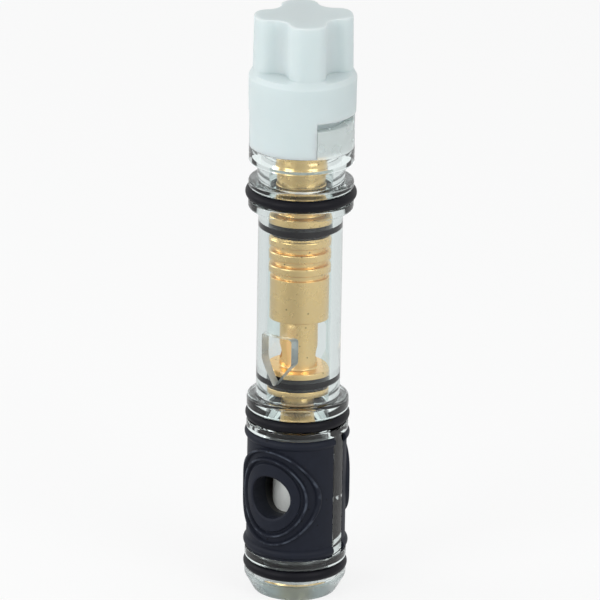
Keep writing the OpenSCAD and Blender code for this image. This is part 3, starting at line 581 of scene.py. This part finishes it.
# Free-cutting brass, turned: warm yellow, a soft satin polish with fine rings left by the tool
# every 0.1 mm, drawn at 0.3 mm to show, and a few small dark pits.
brass = bpy.data.materials.new("turned_brass")
brass.use_nodes = True
tree = brass.node_tree
shader = tree.nodes["Principled BSDF"]
shader.inputs["Metallic"].default_value = 1.0
place = add_node(tree, "ShaderNodeTexCoord")
parts = add_node(tree, "ShaderNodeSeparateXYZ", None, {"Vector": place.outputs["Object"]})
rings = add_node(tree, "ShaderNodeTexNoise", {"noise_dimensions": "1D", "Scale": 3300.0, "Detail": 2.0},
                 {"W": parts.outputs["Z"]})
cloud = add_node(tree, "ShaderNodeTexNoise", {"Scale": 350.0, "Detail": 4.0},
                 {"Vector": place.outputs["Object"]})
pits = add_node(tree, "ShaderNodeTexVoronoi", {"Scale": 620.0, "Randomness": 1.0},
                {"Vector": place.outputs["Object"]})
pit = add_node(tree, "ShaderNodeMapRange",
               {"From Min": 0.05, "From Max": 0.13, "To Min": 1.0, "To Max": 0.0},
               {"Value": pits.outputs["Distance"]})
shade = add_node(tree, "ShaderNodeMix", {"data_type": "RGBA"}, {"Factor": cloud.outputs["Fac"]})
shade.inputs["A"].default_value = linear("#F6C886")
shade.inputs["B"].default_value = linear("#FCD397")
worn = add_node(tree, "ShaderNodeMix", {"data_type": "RGBA"}, {"Factor": pit.outputs["Result"]})
tree.links.new(shade.outputs["Result"], worn.inputs["A"])
worn.inputs["B"].default_value = linear("#8A6A3E")
tree.links.new(worn.outputs["Result"], shader.inputs["Base Color"])
satin = add_node(tree, "ShaderNodeMapRange", {"To Min": 0.2, "To Max": 0.36},
                 {"Value": cloud.outputs["Fac"]})
tree.links.new(satin.outputs["Result"], shader.inputs["Roughness"])
marks = add_node(tree, "ShaderNodeBump", {"Strength": 0.25, "Distance": 0.00002},
                 {"Height": rings.outputs["Fac"]})
tree.links.new(marks.outputs["Normal"], shader.inputs["Normal"])
stem.data.materials.append(brass)
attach(stem, "stem")
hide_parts("stem")


# Stem rings: two O-rings on the stem, squeezed flat where they seal in the bore of the casing.
for name, node, centre_z in (("upper_stem_ring", "stem_upper_seal", 77.1),
                             ("lower_stem_ring", "stem_lower_seal", 45.15)):
    ring = squeezed_ring(name, centre_r=5.13, centre_z=centre_z, section_r=1.2,
                         low_r=3.93, high_r=6.362, outer=1.2)
    ring.data.materials.append(rubber)
    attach(ring, "stem")
    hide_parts(node)


# Thrust ring and washer: a split brass ring sprung into the groove of the stem neck, and a white
# acetal washer between it and the top plate.
thrust_ring = turned("split_thrust_ring", soften([(4.62, 89.09, 0.08), (5.8, 89.09, 0.12),
                                                  (5.8, 89.74, 0.12), (4.62, 89.74, 0.08)]),
                     angle=340, steps=170)
swing(thrust_ring, 10)
thrust_ring.data.materials.append(brass)
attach(thrust_ring, "stem")
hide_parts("thrust_ring")

washer = turned("acetal_thrust_washer", soften([(5.25, 89.78, 0.1), (6.2, 89.78, 0.1),
                                                (6.2, 90.48, 0.1), (5.25, 90.48, 0.1)]))

# White acetal: waxy off-white with an even, low sheen and a mottle of about 2 mm.
acetal = bpy.data.materials.new("white_acetal")
acetal.use_nodes = True
tree = acetal.node_tree
shader = tree.nodes["Principled BSDF"]
place = add_node(tree, "ShaderNodeTexCoord")
mottle = add_node(tree, "ShaderNodeTexNoise", {"Scale": 500.0, "Detail": 3.0},
                  {"Vector": place.outputs["Object"]})
shade = add_node(tree, "ShaderNodeMix", {"data_type": "RGBA"}, {"Factor": mottle.outputs["Fac"]})
shade.inputs["A"].default_value = linear("#DADAD4")
shade.inputs["B"].default_value = linear("#E8E8E4")
tree.links.new(shade.outputs["Result"], shader.inputs["Base Color"])
shader.inputs["Roughness"].default_value = 0.42
washer.data.materials.append(acetal)
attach(washer, "housing")
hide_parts("thrust_washer")


# Spool sleeve: a turned sleeve of dark acetal that the stem turns, with a round window at each
# inlet port and a ring groove near each end.
sleeve = turned("acetal_spool_sleeve", soften([
    (4.75, 4.22, 0.15), (6.27, 4.22, 0.15), (6.27, 5.72), (5.31, 5.72), (5.31, 6.92), (6.27, 6.92),
    (6.27, 33.2), (5.31, 33.2), (5.31, 34.4), (6.27, 34.4), (6.27, 35.0, 0.15), (4.75, 35.0, 0.15)]))
join_by(sleeve, rod("window", 4.7, 40, (0, 0, port_z), (90, 0, 0), 96))
join_by(sleeve, rod("pin_hole", 0.82, 40, (0, 0, 31.9), (0, 90, 0), 32))
smooth(sleeve)

# Dark acetal: the same plastic with carbon black in it, nearly black with the same low sheen.
dark_acetal = acetal.copy()
dark_acetal.name = "dark_acetal"
for node in dark_acetal.node_tree.nodes:
    if node.bl_idname == "ShaderNodeMix":
        node.inputs["A"].default_value = linear("#141414")
        node.inputs["B"].default_value = linear("#1D1C1C")
sleeve.data.materials.append(dark_acetal)
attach(sleeve, "stem")
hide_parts("spool_sleeve")


# Spool end cap: turned brass, with a flange under the sleeve and the trunnion it turns on.
end_cap = turned("brass_end_cap", soften([
    (0, 0.4), (3.4, 0.4, 0.2), (3.4, 3.02), (6.22, 3.02, 0.15), (6.22, 4.2, 0.15), (4.73, 4.2),
    (4.73, 7.5, 0.2), (0, 7.5)]))
end_cap.data.materials.append(brass)
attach(end_cap, "stem")
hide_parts("spool_end_cap")


# Balance piston: a hollow stainless piston with a web in the middle, cross holes near its ends
# and a shallow oil groove at each end, ground and then blasted on the outside.
piston = turned("balance_piston_shell", soften([
    (0, 15.9), (3.3, 15.9, 0.2), (3.3, 8.6, 0.15), (4.7, 8.6, 0.2), (4.7, 9.5), (4.45, 9.5),
    (4.45, 9.9), (4.7, 9.9), (4.7, 24.1), (4.45, 24.1), (4.45, 24.5), (4.7, 24.5), (4.7, 25.4, 0.2),
    (3.3, 25.4, 0.15), (3.3, 18.1, 0.2), (0, 18.1)]))
for z in (11.0, 23.0):
    for across in (30, 120):
        join_by(piston, rod("cross_hole", 0.8, 20, (0, 0, z), (90, 0, across), 32))
smooth(piston)

# Blasted stainless steel: pale grey and almost without gloss, with faint rings from the grinding
# before it, drawn at 0.2 mm to show.
stainless = bpy.data.materials.new("blasted_stainless_steel")
stainless.use_nodes = True
tree = stainless.node_tree
shader = tree.nodes["Principled BSDF"]
shader.inputs["Metallic"].default_value = 0.35
place = add_node(tree, "ShaderNodeTexCoord")
parts = add_node(tree, "ShaderNodeSeparateXYZ", None, {"Vector": place.outputs["Object"]})
grind = add_node(tree, "ShaderNodeTexNoise", {"noise_dimensions": "1D", "Scale": 5000.0, "Detail": 3.0},
                 {"W": parts.outputs["Z"]})
shade = add_node(tree, "ShaderNodeMix", {"data_type": "RGBA"}, {"Factor": grind.outputs["Fac"]})
shade.inputs["A"].default_value = linear("#DCDFDD")
shade.inputs["B"].default_value = linear("#E8EBE8")
tree.links.new(shade.outputs["Result"], shader.inputs["Base Color"])
satin = add_node(tree, "ShaderNodeMapRange", {"To Min": 0.5, "To Max": 0.62},
                 {"Value": grind.outputs["Fac"]})
tree.links.new(satin.outputs["Result"], shader.inputs["Roughness"])
piston.data.materials.append(stainless)
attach(piston, "balance_piston")
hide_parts("balance_piston")


# Small parts inside the spool: the steel drive pin, two small rings and two stop rings. They keep
# their plain solids and only get their finish here.
for node, finish in (("drive_pin", stainless), ("spool_upper_seal", rubber),
                     ("spool_lower_seal", rubber), ("piston_upper_stop", acetal),
                     ("piston_lower_stop", acetal)):
    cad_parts[node].data.materials.clear()
    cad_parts[node].data.materials.append(finish)


# Removal cap: moulded in natural polypropylene, a round skirt notched over the ears and a grip
# with four flutes, hollow inside, closed on top over the end of the stem.
grip_r = 9.9


def grip_radius(angle):
    """Radius of the grip outline in mm at an angle about the axis: a disc cut by four flutes."""
    flute_off, flute_r, corner_r, grip_turn = 10.02, 3.4, 2.6, 6
    off = (math.degrees(angle) + grip_turn + 45) % 90 - 45
    off = abs(math.radians(off))
    inner = grip_r - corner_r
    lobe = math.acos((inner ** 2 + flute_off ** 2 - (flute_r + corner_r) ** 2)
                     / (2 * inner * flute_off))
    touch = Vector((inner * math.cos(lobe), inner * math.sin(lobe)))
    flute = Vector((flute_off, 0))
    meet = flute + (touch - flute) * flute_r / (flute_r + corner_r)
    if off < math.atan2(meet[1], meet[0]):
        return (flute_off * math.cos(off)
                - math.sqrt(max(0, flute_r ** 2 - (flute_off * math.sin(off)) ** 2)))
    if off < lobe:
        along = touch.length * math.cos(off - lobe)
        return along + math.sqrt(corner_r ** 2 - (touch.length * math.sin(off - lobe)) ** 2)
    return grip_r


cap = turned("removal_cap_body", soften([
    (6.4, 93.82, 0.15), (10.5, 93.82, 0.15), (10.7, 108.12, 0.5), (9.9, 109.62, 0.4),
    (9.74, 120.62, 0.4), (0, 120.62), (0, 118.22), (5.4, 118.22, 0.4),
    (5.4, 106.12, 0.3), (6.4, 106.12, 0.3)]), longest=0.6)

# The round body is drawn in to the fluted outline above the foot of the grip, except near the axis.
grip_foot, fade_height, kept_r = 109.3, 0.4, 5.6
for vertex in cap.data.vertices:
    x, y, z = vertex.co / MM
    r = math.hypot(x, y)
    if z > grip_foot and r > kept_r:
        fade = min(1, (z - grip_foot) / fade_height)
        outline = grip_radius(math.atan2(y, x))
        shrink = 1 - (1 - outline / grip_r) * fade
        limit = kept_r + (r - kept_r) * max(0.0, (shrink * grip_r - kept_r) / (grip_r - kept_r))
        vertex.co.x, vertex.co.y = Vector((x, y)) / r * limit * MM
notch_angle = 83.6
for side in (0, 180):
    notch = turned("notch", [(8.25, 92), (12, 92), (12, 101.1), (8.25, 101.1)],
                   longest=9.0, angle=notch_angle, steps=42)
    swing(notch, side - notch_angle / 2)
    join_by(cap, notch)
smooth(cap, angle=30)

# Natural polypropylene: milky with a cool cast, light goes about 2 mm in, and a fine frost from
# the spark-eroded mould takes the gloss off it.
milky = bpy.data.materials.new("natural_polypropylene")
milky.use_nodes = True
tree = milky.node_tree
shader = tree.nodes["Principled BSDF"]
shader.inputs["Subsurface Weight"].default_value = 1.0
shader.inputs["Subsurface Radius"].default_value = (1.0, 1.0, 0.95)
shader.inputs["Subsurface Scale"].default_value = 0.002
shader.inputs["IOR"].default_value = 1.49
shader.inputs["Transmission Weight"].default_value = 0.15
place = add_node(tree, "ShaderNodeTexCoord")
cloud = add_node(tree, "ShaderNodeTexNoise", {"Scale": 160.0, "Detail": 3.0},
                 {"Vector": place.outputs["Object"]})
grain = add_node(tree, "ShaderNodeTexNoise", {"Scale": 2500.0, "Detail": 3.0},
                 {"Vector": place.outputs["Object"]})
shade = add_node(tree, "ShaderNodeMix", {"data_type": "RGBA"}, {"Factor": cloud.outputs["Fac"]})
shade.inputs["A"].default_value = linear("#D8E4E5")
shade.inputs["B"].default_value = linear("#DEE9EA")
tree.links.new(shade.outputs["Result"], shader.inputs["Base Color"])
frost = add_node(tree, "ShaderNodeMapRange", {"To Min": 0.46, "To Max": 0.6},
                 {"Value": grain.outputs["Fac"]})
tree.links.new(frost.outputs["Result"], shader.inputs["Roughness"])
skin = add_node(tree, "ShaderNodeBump", {"Strength": 0.15, "Distance": 0.00002},
                {"Height": grain.outputs["Fac"]})
tree.links.new(skin.outputs["Normal"], shader.inputs["Normal"])
cap.data.materials.append(milky)
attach(cap, "removal_cap")
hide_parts("removal_cap")
